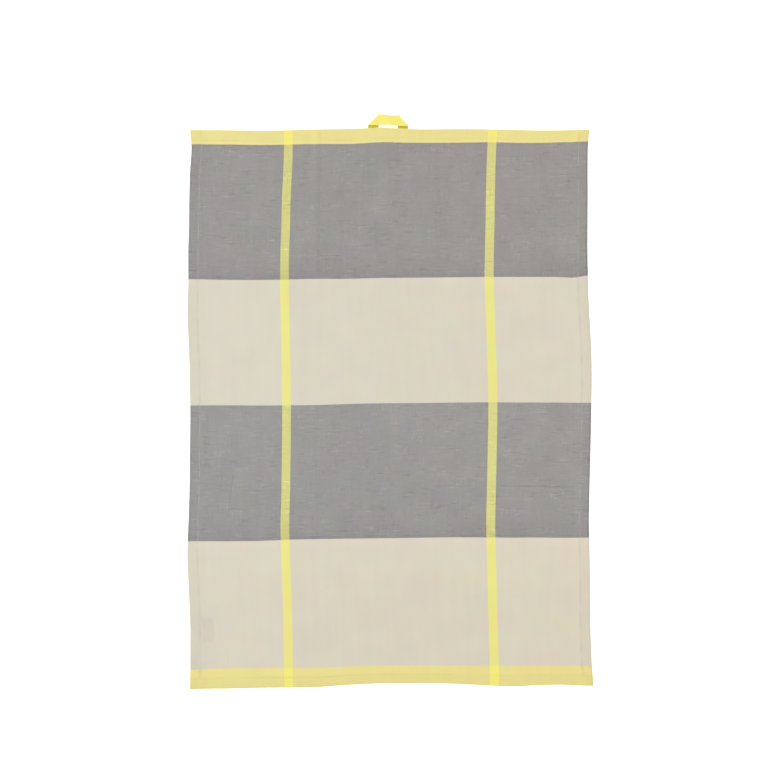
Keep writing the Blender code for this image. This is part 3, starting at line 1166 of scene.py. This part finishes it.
@dataclass
class TowelCloth:
    """The woven cloth, one continuous sheet with its double hems turned to the back."""

    lay: ClothLay = field(default_factory=ClothLay)
    finish: WovenCotton = field(default_factory=WovenCotton)
    thickness: float = 0.3
    pitch: float = 0.38  # from one layer of a hem to the next
    side_hem: Hem = Hem(13.3, 12.0)
    top_hem: Hem = Hem(15.0, 13.5)
    bottom_hem: Hem = Hem(13.5, 12.0)
    hem_fall: float = 8.5
    grid_step: float = 5.0
    groove_half_width: float = 0.7
    groove_front: float = 0.09
    groove_back: float = 0.2
    tape_seat: float = 0.6  # room for one thickness of the loop's tape
    label_seat: float = 0.3

    def hem_stations(self, hem: Hem, side: int) -> list[Station]:
        """The grid lines of one hem.

        Args:
            hem: The hem.
            side: -1 at the lower end of the cloth, 1 at its higher end.

        Returns:
            The lines, from the raw edge to where the cloth lies flat.
        """
        seam = [hem.seam + share * self.groove_half_width for share in (-1, -0.5, 0, 0.5, 1)]
        turned = [2.0, 5.0, 8.0, *seam]
        falling = [hem.width + self.hem_fall * share for share in (0, 0.25, 0.5, 0.75, 1)]
        return [
            Station(section, side, away, angle)
            for section, aways, angles in (
                (Section.FLAP, [hem.raw_edge, 6.0, 8.5, hem.width - 2.0], [0.0]),
                (Section.INNER_FOLD, [hem.width], np.linspace(0.0, math.pi, 6)),
                (Section.TURNED, turned[::-1], [0.0]),
                (Section.OUTER_FOLD, [0.0], np.linspace(math.pi, 0.0, 9)),
                (Section.PANEL, turned + falling, [0.0]),
            )
            for away, angle in product(aways, angles)
        ]

    def stations(self, low: float, high: float, hems: dict[int, Hem]) -> list[Station]:
        """All grid lines one way.

        Args:
            low: The lower end of the squared cloth, that way.
            high: Its higher end.
            hems: The hem at each end, -1 for the lower one.

        Returns:
            The lines, from one raw edge to the other.
        """
        start = low + hems[-1].width + self.hem_fall
        end = high - hems[1].width - self.hem_fall
        middle = np.linspace(start, end, math.ceil((end - start) / self.grid_step) + 1)[1:-1]
        return [
            *self.hem_stations(hems[-1], -1),
            *(Station(Section.PANEL, 0, place) for place in middle),
            *reversed(self.hem_stations(hems[1], 1)),
        ]

    def line(self, low: float, high: float, hems: dict[int, Hem], shape: tuple[int, int]) -> Line:
        """The facts of one family of grid lines.

        Args:
            low: The lower end of the squared cloth, that way.
            high: Its higher end.
            hems: The hem at each end, -1 for the lower one.
            shape: That of each fact's array, one value a row or one a column.

        Returns:
            One array for each fact.
        """
        stations = self.stations(low, high, hems)
        sections, *numbers = zip(*stations)
        side, away, angle = (np.reshape(values, shape) for values in numbers)
        own_hems = zip(*(hems[station.side or 1] for station in stations))
        width, seam, _ = (np.reshape(values, shape) for values in own_hems)
        is_section = {
            kind: np.reshape([section is kind for section in sections], shape) for kind in Section
        }
        panel, inside, below = is_section[Section.PANEL], side == 0, side < 0
        place = np.where(inside, away, np.where(below, low + away, high - away))
        p = self.pitch
        turned_end = (math.pi - 1.5) * p + width
        past = sum(
            is_section[kind] * past_fold  # along the cloth, from the first point of the outer fold
            for kind, past_fold in (
                (Section.OUTER_FOLD, p * angle),
                (Section.TURNED, (math.pi - 1.0) * p + away),
                (Section.INNER_FOLD, turned_end + (math.pi - angle) * p / 2),
                (Section.FLAP, turned_end + (math.pi - 1.0) * p / 2 + width - away),
            )
        )
        return Line(
            place=place,
            away=np.where(inside, np.minimum(away - low, high - away), away),
            angle=angle,
            flat=np.where(panel, place, np.where(below, low + p - past, high - p + past)),
            side=side,
            width=width,
            seam=seam,
            is_section=is_section,
            near=np.where(panel, fade(away - width, self.hem_fall), 1.0) * ~inside,
        )

    @staticmethod
    def loop_room(across: Array, height: Array) -> Array:
        """1 over the hanging loop's legs, 0 away from them."""
        return fade(beside_loop(across) - 1.7, 26.0) * fade(TOP - height - 16.0, 30.0)

    @staticmethod
    def label_room(across: Array, height: Array) -> Array:
        """How much of the label's room a place has.

        Args:
            across: The places on the squared cloth.
            height: The same, along the warp.

        Returns:
            1 over the label, 0 away from it.
        """
        from_side = across + HALF_WIDTH
        beyond = np.abs(height - LABEL_HEIGHT) - 17.3
        return fade(from_side - 30.7, 7.0) * fade(beyond, 7.0) * fade(8.5 - from_side, 4.5)

    def profile(self, lines: Line, corner: Array, rise: Array, layer: Array) -> tuple[Array, Array]:
        """Hems in section, where they lie alone or across the ends of others.

        Args:
            lines: The grid lines that run along the hems.
            corner: How far a place lies within a hem that crosses them, from 0 to 1.
            rise: Its layer of that hem: 2 in front, 1 in the flap and 0 behind.
            layer: The layer of the open panel.

        Returns:
            How far each place lies in from the fold, and its layer.
        """
        p, width, away = self.pitch, lines.width, lines.away
        sine, cosine = np.sin(lines.angle), np.cos(lines.angle)
        edge, turn, inner = 1.0 + 2.0 * corner, rise - 1.0 + 2.0 * corner, 0.5 + corner
        for kind, kind_away, kind_layer in (
            (Section.PANEL, np.maximum(away, edge * p), layer),
            (Section.OUTER_FOLD, p * (edge - turn * sine), edge + turn * cosine),
            (Section.TURNED, np.clip(away, edge * p, width - inner * p), 2.0 - rise),
            (Section.INNER_FOLD, width - inner * p * (1.0 - sine), inner * (1.0 + cosine)),
            (Section.FLAP, np.minimum(away, width - inner * p), 2.0 * inner),
        ):
            away = np.where(lines.is_section[kind], kind_away, away)
            layer = np.where(lines.is_section[kind], kind_layer, layer)
        return away, layer

    @staticmethod
    def both_hems(one: Array, other: Array) -> Array:
        """How many layers a hem and one that crosses it lift the cloth's face."""
        return 2.0 * np.maximum(one, other) + 4.0 * np.minimum(one, other)

    def level(
        self, layer: Array, across: Array, height: Array, facing: Array = 1.0, front: Array = 1.0
    ) -> Array:
        """How high the middle of the cloth lies, away from its seams.

        Args:
            layer: How many layers lie below.
            across: The place on the squared cloth.
            height: The same, along the warp.
            facing: 1 where the cloth looks up, 0 where it is turned under.
            front: 1 where that is so both ways.

        Returns:
            The height over the table.
        """
        z = self.thickness / 2 + self.pitch * layer + self.lay.ripple_lift(across, height)
        z = z + self.tape_seat * self.loop_room(across, height) * (1.0 + facing)
        return z + self.label_seat * self.label_room(across, height) * front

    def middle_surface(self) -> tuple[Array, Array, Array]:
        """The cloth's middle surface as it lies.

        Returns:
            The points, their places on the flat cut, and which cells are there.
        """
        columns = self.line(-HALF_WIDTH, HALF_WIDTH, {-1: self.side_hem, 1: self.side_hem}, (1, -1))
        rows = self.line(BOTTOM, TOP, {-1: self.bottom_hem, 1: self.top_hem}, (-1, 1))
        away_side, rise = self.profile(columns, 0.0, 2.0, 2.0)
        across = columns.side * (HALF_WIDTH - away_side)
        across = np.where(columns.side == 0, columns.place, across)
        fold_start = columns.is_section[Section.OUTER_FOLD] & (columns.angle < 1e-6)
        front = columns.is_section[Section.PANEL] | fold_start
        layer = np.where(front, self.both_hems(columns.near, rows.near), rise + 4.0 * rows.near)
        away, layer = self.profile(rows, columns.near, rise, layer)
        height = np.where(rows.side < 0, BOTTOM + away, TOP - away)
        height = np.where(rows.side == 0, rows.place, height)
        across = np.broadcast_to(across, height.shape)
        panel, turned = rows.is_section[Section.PANEL], rows.is_section[Section.TURNED]
        outer_fold = rows.is_section[Section.OUTER_FOLD]
        facing = np.where(outer_fold, (1.0 + np.cos(rows.angle)) / 2, panel)
        end_groove = bell(away - rows.seam, self.groove_half_width) * (rows.side != 0)
        side_groove = bell(away_side - columns.seam, self.groove_half_width)
        side_groove = side_groove * (away >= rows.seam) * panel
        down = np.maximum(end_groove * panel, side_groove * front)
        up = np.maximum(end_groove * turned, side_groove * columns.is_section[Section.TURNED])
        z = self.level(layer, across, height, facing, front * facing)
        z = z - self.groove_front * down + self.groove_back * up
        x, y = self.lay.place(across, height)
        flat = np.dstack(np.meshgrid(columns.flat, rows.flat))
        buried = rows.is_section[Section.INNER_FOLD] & (rows.angle < 3.1)
        missing = (rows.is_section[Section.FLAP] | buried) & ~front
        missing = missing[:-1] | missing[1:]
        return np.dstack((x, y, z)), flat, ~(missing[:, :-1] | missing[:, 1:])

    def front_height(self, across: Array, height: Array) -> Array:
        """How high the cloth's face lies, away from its folds.

        Args:
            across: The places on the squared cloth.
            height: The same, along the warp.

        Returns:
            The height over the table.
        """
        side, top, bottom = (
            fade(away - hem.width, self.hem_fall)
            for away, hem in (
                (HALF_WIDTH - np.abs(across), self.side_hem),
                (TOP - height, self.top_hem),
                (height - BOTTOM, self.bottom_hem),
            )
        )
        layer = self.both_hems(side, np.maximum(top, bottom))
        return self.level(layer, across, height) + self.thickness / 2

    def build(self) -> bpy.types.Object:
        """Make the cloth, hide the imported part it replaces and attach it to the body.

        Returns:
            The cloth.
        """
        middle, flat, keep = self.middle_surface()
        ridge = self.lay.ridge(flat[..., 0], flat[..., 1])
        grid = SheetGrid(middle, flat, self.thickness, keep, ridge=ridge)
        cloth = grid.build("towel_cloth_woven", self.finish.material())
        size = np.ptp(flat.reshape(-1, 2), axis=0) * MM
        log.info("cut %.4f x %.4f m, %d faces", size[0], size[1], len(cloth.data.polygons))
        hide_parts("towel_cloth")
        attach(cloth, BODY)
        self.cut_size = (float(size[0]), float(size[1]))
        return cloth


@dataclass
class HangingLoop:
    """One length of tape, folded over at two mitred corners, its ends tucked into the top hem."""

    finish: LoopTape = field(default_factory=LoopTape)
    thickness: float = 0.55
    width: float = 13.5
    left: float = LOOP_LEFT
    right: float = LOOP_RIGHT
    underside: float = 345.8
    leg_end: float = 329.5
    narrowing: float = 1.0
    strips: int = 20
    tuck_line: float = 325.0
    tuck_depth: float = 7.0
    tuck_radius: float = 0.67
    stand: float = 0.95  # radius of the two mitred folds
    slump: tuple[LoopSlump, ...] = LOOP_SLUMP
    tuck_reach: float = 12.0  # how far above its line the tucked part stays where it is
    grid_step: float = 0.6

    @staticmethod
    def fold(points: Array, line: Array, outward: Array, turn: int, radius: float) -> Array:
        """Fold what lies past a line back over it, round a small radius.

        Args:
            points: The tape's points, before.
            line: A point of the fold line.
            outward: The direction square to the line, away from the part that stays.
            turn: 1 to fold up, -1 to fold down.
            radius: The fold's radius.

        Returns:
            The points after the fold.
        """
        past = np.maximum((points - line) @ outward, 0.0)[..., None]
        angle = np.minimum(past / radius, math.pi)
        reach = radius * np.sin(angle) - np.maximum(past - math.pi * radius, 0.0)
        return points + (reach - past) * outward + turn * radius * (1.0 - np.cos(angle)) * UP

    def middle_surface(self) -> tuple[Array, Array]:
        """The tape's middle surface as it lies.

        Returns:
            The points, and their places on the flat tape.
        """
        half, slip = self.width / 2, math.pi * self.stand / math.sqrt(2)
        folds = (
            ((self.left, self.underside - slip, 0.0), (-1.0, 1.0, 0.0), 1, self.stand),
            ((self.right - slip, self.underside, 0.0), (1.0, 1.0, 0.0), -1, self.stand),
            ((0.0, self.tuck_line, 0.0), (0.0, -1.0, 0.0), 1, self.tuck_radius),
        )
        first = self.underside - slip - self.leg_end + half
        second = first + self.right - self.left - self.width
        length = second + first + 2 * slip
        tail = self.leg_end - self.tuck_line + math.pi * self.tuck_radius + self.tuck_depth
        centre, bend = (first + second) / 2, 2 * slip
        knots = [first / 2, first, first + bend, centre + slip, second, second + bend, 1.25 * second]
        slopes = (0.0, 1.0, 1.0, 0.0, -1.0, -1.0, 0.0)  # grid lines that run with the folds
        steps = math.ceil((length + 2 * tail) / self.grid_step)
        along = np.linspace(-tail, length + tail, steps + 1)[:, None]
        side = np.linspace(-half, half, self.strips + 1)
        place = along + np.interp(along, knots, slopes) * side
        drawn = self.narrowing * np.exp(-(((along - centre) / self.width) ** 2))
        across = self.left + half + side - drawn * np.maximum(side / half, 0.0)
        points = np.dstack((across, self.leg_end + place, np.full_like(place, self.thickness / 2)))
        for line, outward, turn, radius in folds:
            outward = np.array(outward) / math.hypot(*outward)
            points = self.fold(points, np.array(line), outward, turn, radius)
        return self.slumped(points), np.dstack(np.broadcast_arrays(side, place))

    def slumped(self, points: Array) -> Array:
        """Let the upper layer slip, while the legs and the tuck stay where they are.

        Args:
            points: The tape's points, before.

        Returns:
            The points after the slip.
        """
        x, y, z = np.moveaxis(points, 2, 0)
        places, *columns = np.array(self.slump, float).T
        low, high, right = (np.interp(x, places, column) for column in columns)
        share = np.clip((y - self.underside) / self.width, 0.0, 1.0)
        upper = 1.0 - fade(z - self.thickness / 2, 2 * self.stand)
        upper = upper * (y > self.tuck_line + self.tuck_reach)
        down = low * (1.0 - share) + high * share
        return points + np.dstack((upper * right * share**0.7, -upper * down, 0.0 * z))

    def build(self) -> bpy.types.Object:
        """Make the loop, hide the imported part it replaces and attach it to the body.

        Returns:
            The loop.
        """
        middle, flat = self.middle_surface()
        grid = SheetGrid(middle, flat, self.thickness, front_share=0.5)
        loop = grid.build("hanging_loop_tape", self.finish.material())
        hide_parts("hanging_loop")
        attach(loop, BODY)
        return loop


@dataclass
class BlankLabel:
    """The small plain label behind the cloth, its root tucked over the left hem."""

    lay: ClothLay = field(default_factory=ClothLay)
    finish: LabelSatin = field(default_factory=LabelSatin)
    thickness: float = 0.2
    length: float = 32.0
    root: float = -240.4
    end: float = -220.1
    hem_edge: float = -237.0
    climb: float = 0.77
    fall: float = 4.0  # over what width it comes down from the hem
    grid: tuple[int, int] = (34, 36)

    def build(self) -> bpy.types.Object:
        """Make the label, hide the imported part it replaces and attach it to the body.

        Returns:
            The label.
        """
        rows = LABEL_HEIGHT + np.linspace(-self.length / 2, self.length / 2, self.grid[0])
        columns = np.linspace(self.root, self.end, self.grid[1])
        across, height = np.meshgrid(columns, rows)
        x, y = self.lay.place(across, height)
        z = self.thickness / 2 + self.climb * fade(across - self.hem_edge, self.fall)
        middle, flat = np.dstack((x, y, z)), np.dstack((across, height))
        sheet = SheetGrid(middle, flat, self.thickness, front_share=0.5)
        label = sheet.build("blank_label_ribbon", self.finish.material())
        log.info("label %d faces", len(label.data.polygons))
        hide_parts("blank_label")
        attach(label, BODY)
        return label


@dataclass
class StitchTree:
    """The geometry nodes that lay stitches of thread along a seam."""

    spacing: float = 3.1
    length: float = 2.7
    radius: float = 0.17
    dip: float = 0.22
    steps: int = 4  # along a stitch
    sides: int = 5  # round it
    wobble: tuple[float, float, float] = (0.0, 0.02, 0.07)  # how far a stitch turns off its line
    seed: int = 7

    def sizes(self, face: Face) -> dict[str, float]:
        """The named inputs, for the stitches on one side of the cloth.

        Args:
            face: The side.

        Returns:
            The value of each input, in metres.
        """
        return {
            "Spacing": self.spacing * MM,
            "Stitch Length": self.length * MM,
            "Thread Radius": self.radius * MM,
            "Dip": self.dip * face.value * MM,
        }

    def tree(
        self, material: bpy.types.Material, sizes: dict[str, float]
    ) -> tuple[bpy.types.NodeTree, dict[str, str]]:
        """Build the node group.

        Args:
            material: The thread's finish.
            sizes: The named inputs.

        Returns:
            The group, and the identifier of each named input.
        """
        g = NodeGraph(bpy.data.node_groups.new("stitch_rows", "GeometryNodeTree"))
        face = g.tree.interface
        face.new_socket(name="Seam", in_out="INPUT", socket_type="NodeSocketGeometry")
        kind = "NodeSocketFloat"
        inputs = [face.new_socket(name=name, in_out="INPUT", socket_type=kind) for name in sizes]
        names = {socket.name: socket.identifier for socket in inputs}
        face.new_socket(name="Stitches", in_out="OUTPUT", socket_type="NodeSocketGeometry")
        given = g.add("NodeGroupInput").node.outputs
        half, minus, sink = (
            g.add("ShaderNodeMath", {0: given[name], 1: factor}, operation="MULTIPLY")
            for name, factor in (("Stitch Length", 0.5), ("Stitch Length", -0.5), ("Dip", -1.0))
        )
        arc = {
            name: g.add("ShaderNodeCombineXYZ", {"X": along, "Z": up})
            for name, along, up in (
                ("Start", minus, sink),
                ("Middle", 0.0, given["Dip"]),
                ("End", half, sink),
            )
        }
        ring = {"Resolution": self.sides, "Radius": given["Thread Radius"]}
        stitch = {
            "Curve": g.add("GeometryNodeCurveQuadraticBezier", {"Resolution": self.steps, **arc}),
            "Profile Curve": g.add("GeometryNodeCurvePrimitiveCircle", ring),
            "Fill Caps": True,
        }
        row = {
            "Curve": g.add("GeometryNodeMeshToCurve", {0: given["Seam"]}),
            "Length": given["Spacing"],
        }
        tangent = {"Vector": g.add("GeometryNodeInputTangent")}
        placed = {
            "Points": g.add("GeometryNodeResampleCurve", row, mode="LENGTH"),
            "Instance": g.add("GeometryNodeCurveToMesh", stitch),
            "Rotation": g.add("FunctionNodeAlignRotationToVector", tangent, axis="X"),
        }
        wobble = {"Min": tuple(-turn for turn in self.wobble), "Max": self.wobble, "Seed": self.seed}
        turned = {
            "Instances": g.add("GeometryNodeInstanceOnPoints", placed),
            "Rotation": g.add("FunctionNodeRandomValue", wobble, data_type="FLOAT_VECTOR"),
        }
        rows = g.add("GeometryNodeRotateInstances", turned)
        for kind in ("GeometryNodeRealizeInstances", "GeometryNodeSetShadeSmooth"):
            rows = g.add(kind, {0: rows})
        rows = g.add("GeometryNodeSetMaterial", {0: rows, "Material": material})
        g.plug(rows, g.tree.nodes.new("NodeGroupOutput").inputs[0])
        return g.tree, names


@dataclass
class HemStitching:
    """The rows of thread that hold the hems, on one side of the cloth."""

    cloth: TowelCloth
    face: Face
    finish: SewingThread = field(default_factory=SewingThread)
    stitches: StitchTree = field(default_factory=StitchTree)
    end_gap: float = 3.0
    path_step: float = 2.5

    def seams(self) -> list[tuple[Array, Array]]:
        """The seams' places on the squared cloth.

        Returns:
            Across and height for each seam, from its left or bottom end.
        """
        cloth = self.cloth
        top, bottom = TOP - cloth.top_hem.seam, BOTTOM + cloth.bottom_hem.seam
        side = HALF_WIDTH - cloth.side_hem.seam
        reach = HALF_WIDTH - self.end_gap
        across = np.arange(-reach, reach, self.path_step)
        up = np.arange(bottom + 1.5, top - 1.5, self.path_step)
        return [
            (across, np.full_like(across, top)),
            (across, np.full_like(across, bottom)),
            (np.full_like(up, -side), up),
            (np.full_like(up, side), up),
        ]

    def thread_height(self, across: Array, height: Array) -> Array:
        """How high the middle of the thread runs.

        Args:
            across: The places on the squared cloth.
            height: The same, along the warp.

        Returns:
            The height over the table.
        """
        cloth = self.cloth
        if self.face is Face.FRONT:
            pull = np.sin(0.09 * across + 0.15 * height) + np.sin(0.04 * across - 0.23 * height)
            sunk = 0.12 + 0.13 * np.tanh(2.0 * pull) + 0.00015 * across
            return cloth.front_height(across, height) - sunk
        lift = cloth.lay.ripple_lift(across, height)
        lift = lift + cloth.tape_seat * cloth.loop_room(across, height)
        half = HangingLoop.width / 2
        on_tape = fade(np.abs(beside_loop(across) + half) - half, 1.2) * (height > 0.0)
        return lift * (1.0 - on_tape) + cloth.groove_back - 0.05

    def build(self) -> bpy.types.Object:
        """Make the rows as one plain mesh.

        Returns:
            The rows.
        """
        points, edges = [], []
        for across, height in self.seams():
            x, y = self.cloth.lay.place(across, height)
            z = self.thread_height(across, height)
            first = len(points)
            points += (np.stack((x, y, z), axis=1) * MM).tolist()
            edges += [(k, k + 1) for k in range(first, len(points) - 1)]
        name = f"hem_stitches_{self.face.name.lower()}"
        path = bpy.data.meshes.new(name + "_path")
        path.from_pydata(points, edges, [])
        host = new_object(name + "_path", path)
        sizes = self.stitches.sizes(self.face)
        modifier = host.modifiers.new("stitches", "NODES")
        modifier.node_group, names = self.stitches.tree(self.finish.material(), sizes)
        for socket, identifier in names.items():
            modifier[identifier] = sizes[socket]
        ready = host.evaluated_get(bpy.context.evaluated_depsgraph_get())
        mesh = bpy.data.meshes.new_from_object(ready)
        bpy.data.objects.remove(host, do_unlink=True)
        mesh.name = name
        rows = new_object(name, mesh)
        log.info("%s: %d faces", name, len(mesh.polygons))
        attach(rows, BODY)
        return rows


@dataclass
class Studio:
    """A plain white light table, soft light from all round and a little from the upper left."""

    sky: float = 0.92
    backdrop: float = 1.05  # how bright the camera sees what lies past the table
    key: float = 1.03
    key_elevation: float = math.radians(45.0)
    key_side: float = math.radians(35.0)  # how far the light comes from the left of the loop
    key_softness: float = math.radians(30.0)
    view_width: float = 0.9742
    centre: tuple[float, float] = (-0.0005, 0.01354)
    lens: float = 85.0
    sensor: float = 36.0
    table_colour: Colour = (0.8, 0.8, 0.8)
    table_glow: float = 0.7
    table_lines: tuple[float, ...] = (-40.0, -0.6, 0.6, 40.0)  # a small part is under the towel
    table_top: float = -0.0002

    def camera(self) -> None:
        """Set the camera straight above the towel."""
        data = bpy.data.cameras.new("camera")
        data.sensor_fit = "HORIZONTAL"
        data.sensor_width, data.lens = self.sensor, self.lens
        camera = new_object("camera", data)
        camera.location = (*self.centre, self.view_width * self.lens / self.sensor)
        bpy.context.scene.camera = camera

    def lights(self) -> None:
        """Light the towel evenly, with a soft lean from the loop's end."""
        world = bpy.data.worlds.new("white_studio")
        world.use_nodes = True
        g = NodeGraph(world.node_tree)
        back = g.tree.nodes["Background"].inputs
        g.plug((1.0, 1.0, 1.0), back["Color"])
        seen = g.add("ShaderNodeLightPath", output="Is Camera Ray")
        light = {"Value": seen, "To Min": self.sky, "To Max": self.backdrop}
        g.plug(g.add("ShaderNodeMapRange", light), back["Strength"])
        bpy.context.scene.world = world
        data = bpy.data.lights.new("key", "SUN")
        data.energy, data.angle = self.key, self.key_softness
        key = new_object("key", data)
        level = math.cos(self.key_elevation)
        left, down = level * math.sin(self.key_side), level * math.cos(self.key_side)
        aim = Vector((left, -down, -math.sin(self.key_elevation)))
        key.rotation_euler = aim.to_track_quat("-Z", "Y").to_euler()
        key.location = (0.0, 1.0, 1.0)

    def table(self) -> None:
        """Make the glowing white table top, seen through from below."""
        material = bpy.data.materials.new("light_table")
        material.use_nodes = True
        g = NodeGraph(material.node_tree)
        g.tree.nodes.remove(g.tree.nodes["Principled BSDF"])
        white = g.add("ShaderNodeBsdfDiffuse", {"Color": self.table_colour})
        glow = g.add("ShaderNodeEmission", {"Strength": self.table_glow})
        lit = g.add("ShaderNodeAddShader", {0: white, 1: glow})
        behind = g.add("ShaderNodeNewGeometry", output="Backfacing")
        clear = g.add("ShaderNodeBsdfTransparent")
        top = g.add("ShaderNodeMixShader", {0: behind, 1: lit, 2: clear})
        g.plug(top, g.tree.nodes["Material Output"].inputs[0])
        corners = [(x, y, self.table_top) for y in self.table_lines for x in self.table_lines]
        parts = [(k, k + 1, k + 5, k + 4) for row in range(3) for k in range(4 * row, 4 * row + 3)]
        mesh = bpy.data.meshes.new("table")
        mesh.from_pydata(corners, [], parts)
        mesh.materials.append(material)
        table = new_object("table", mesh)

    def build(self) -> None:
        """Set the camera, the lights and the table."""
        self.camera()
        self.lights()
        self.table()
        bpy.context.scene.view_settings.view_transform = "Standard"


def main() -> None:
    """Build the studio, then the towel's pieces in the order they are made."""
    logging.basicConfig(level=logging.INFO, format="%(name)s: %(message)s")
    Studio().build()
    towel = TowelCloth()
    cloth = towel.build()
    HangingLoop().build()
    BlankLabel(towel.lay).build()
    rows = [HemStitching(towel, face).build() for face in Face]


if __name__ == "__main__":
    main()
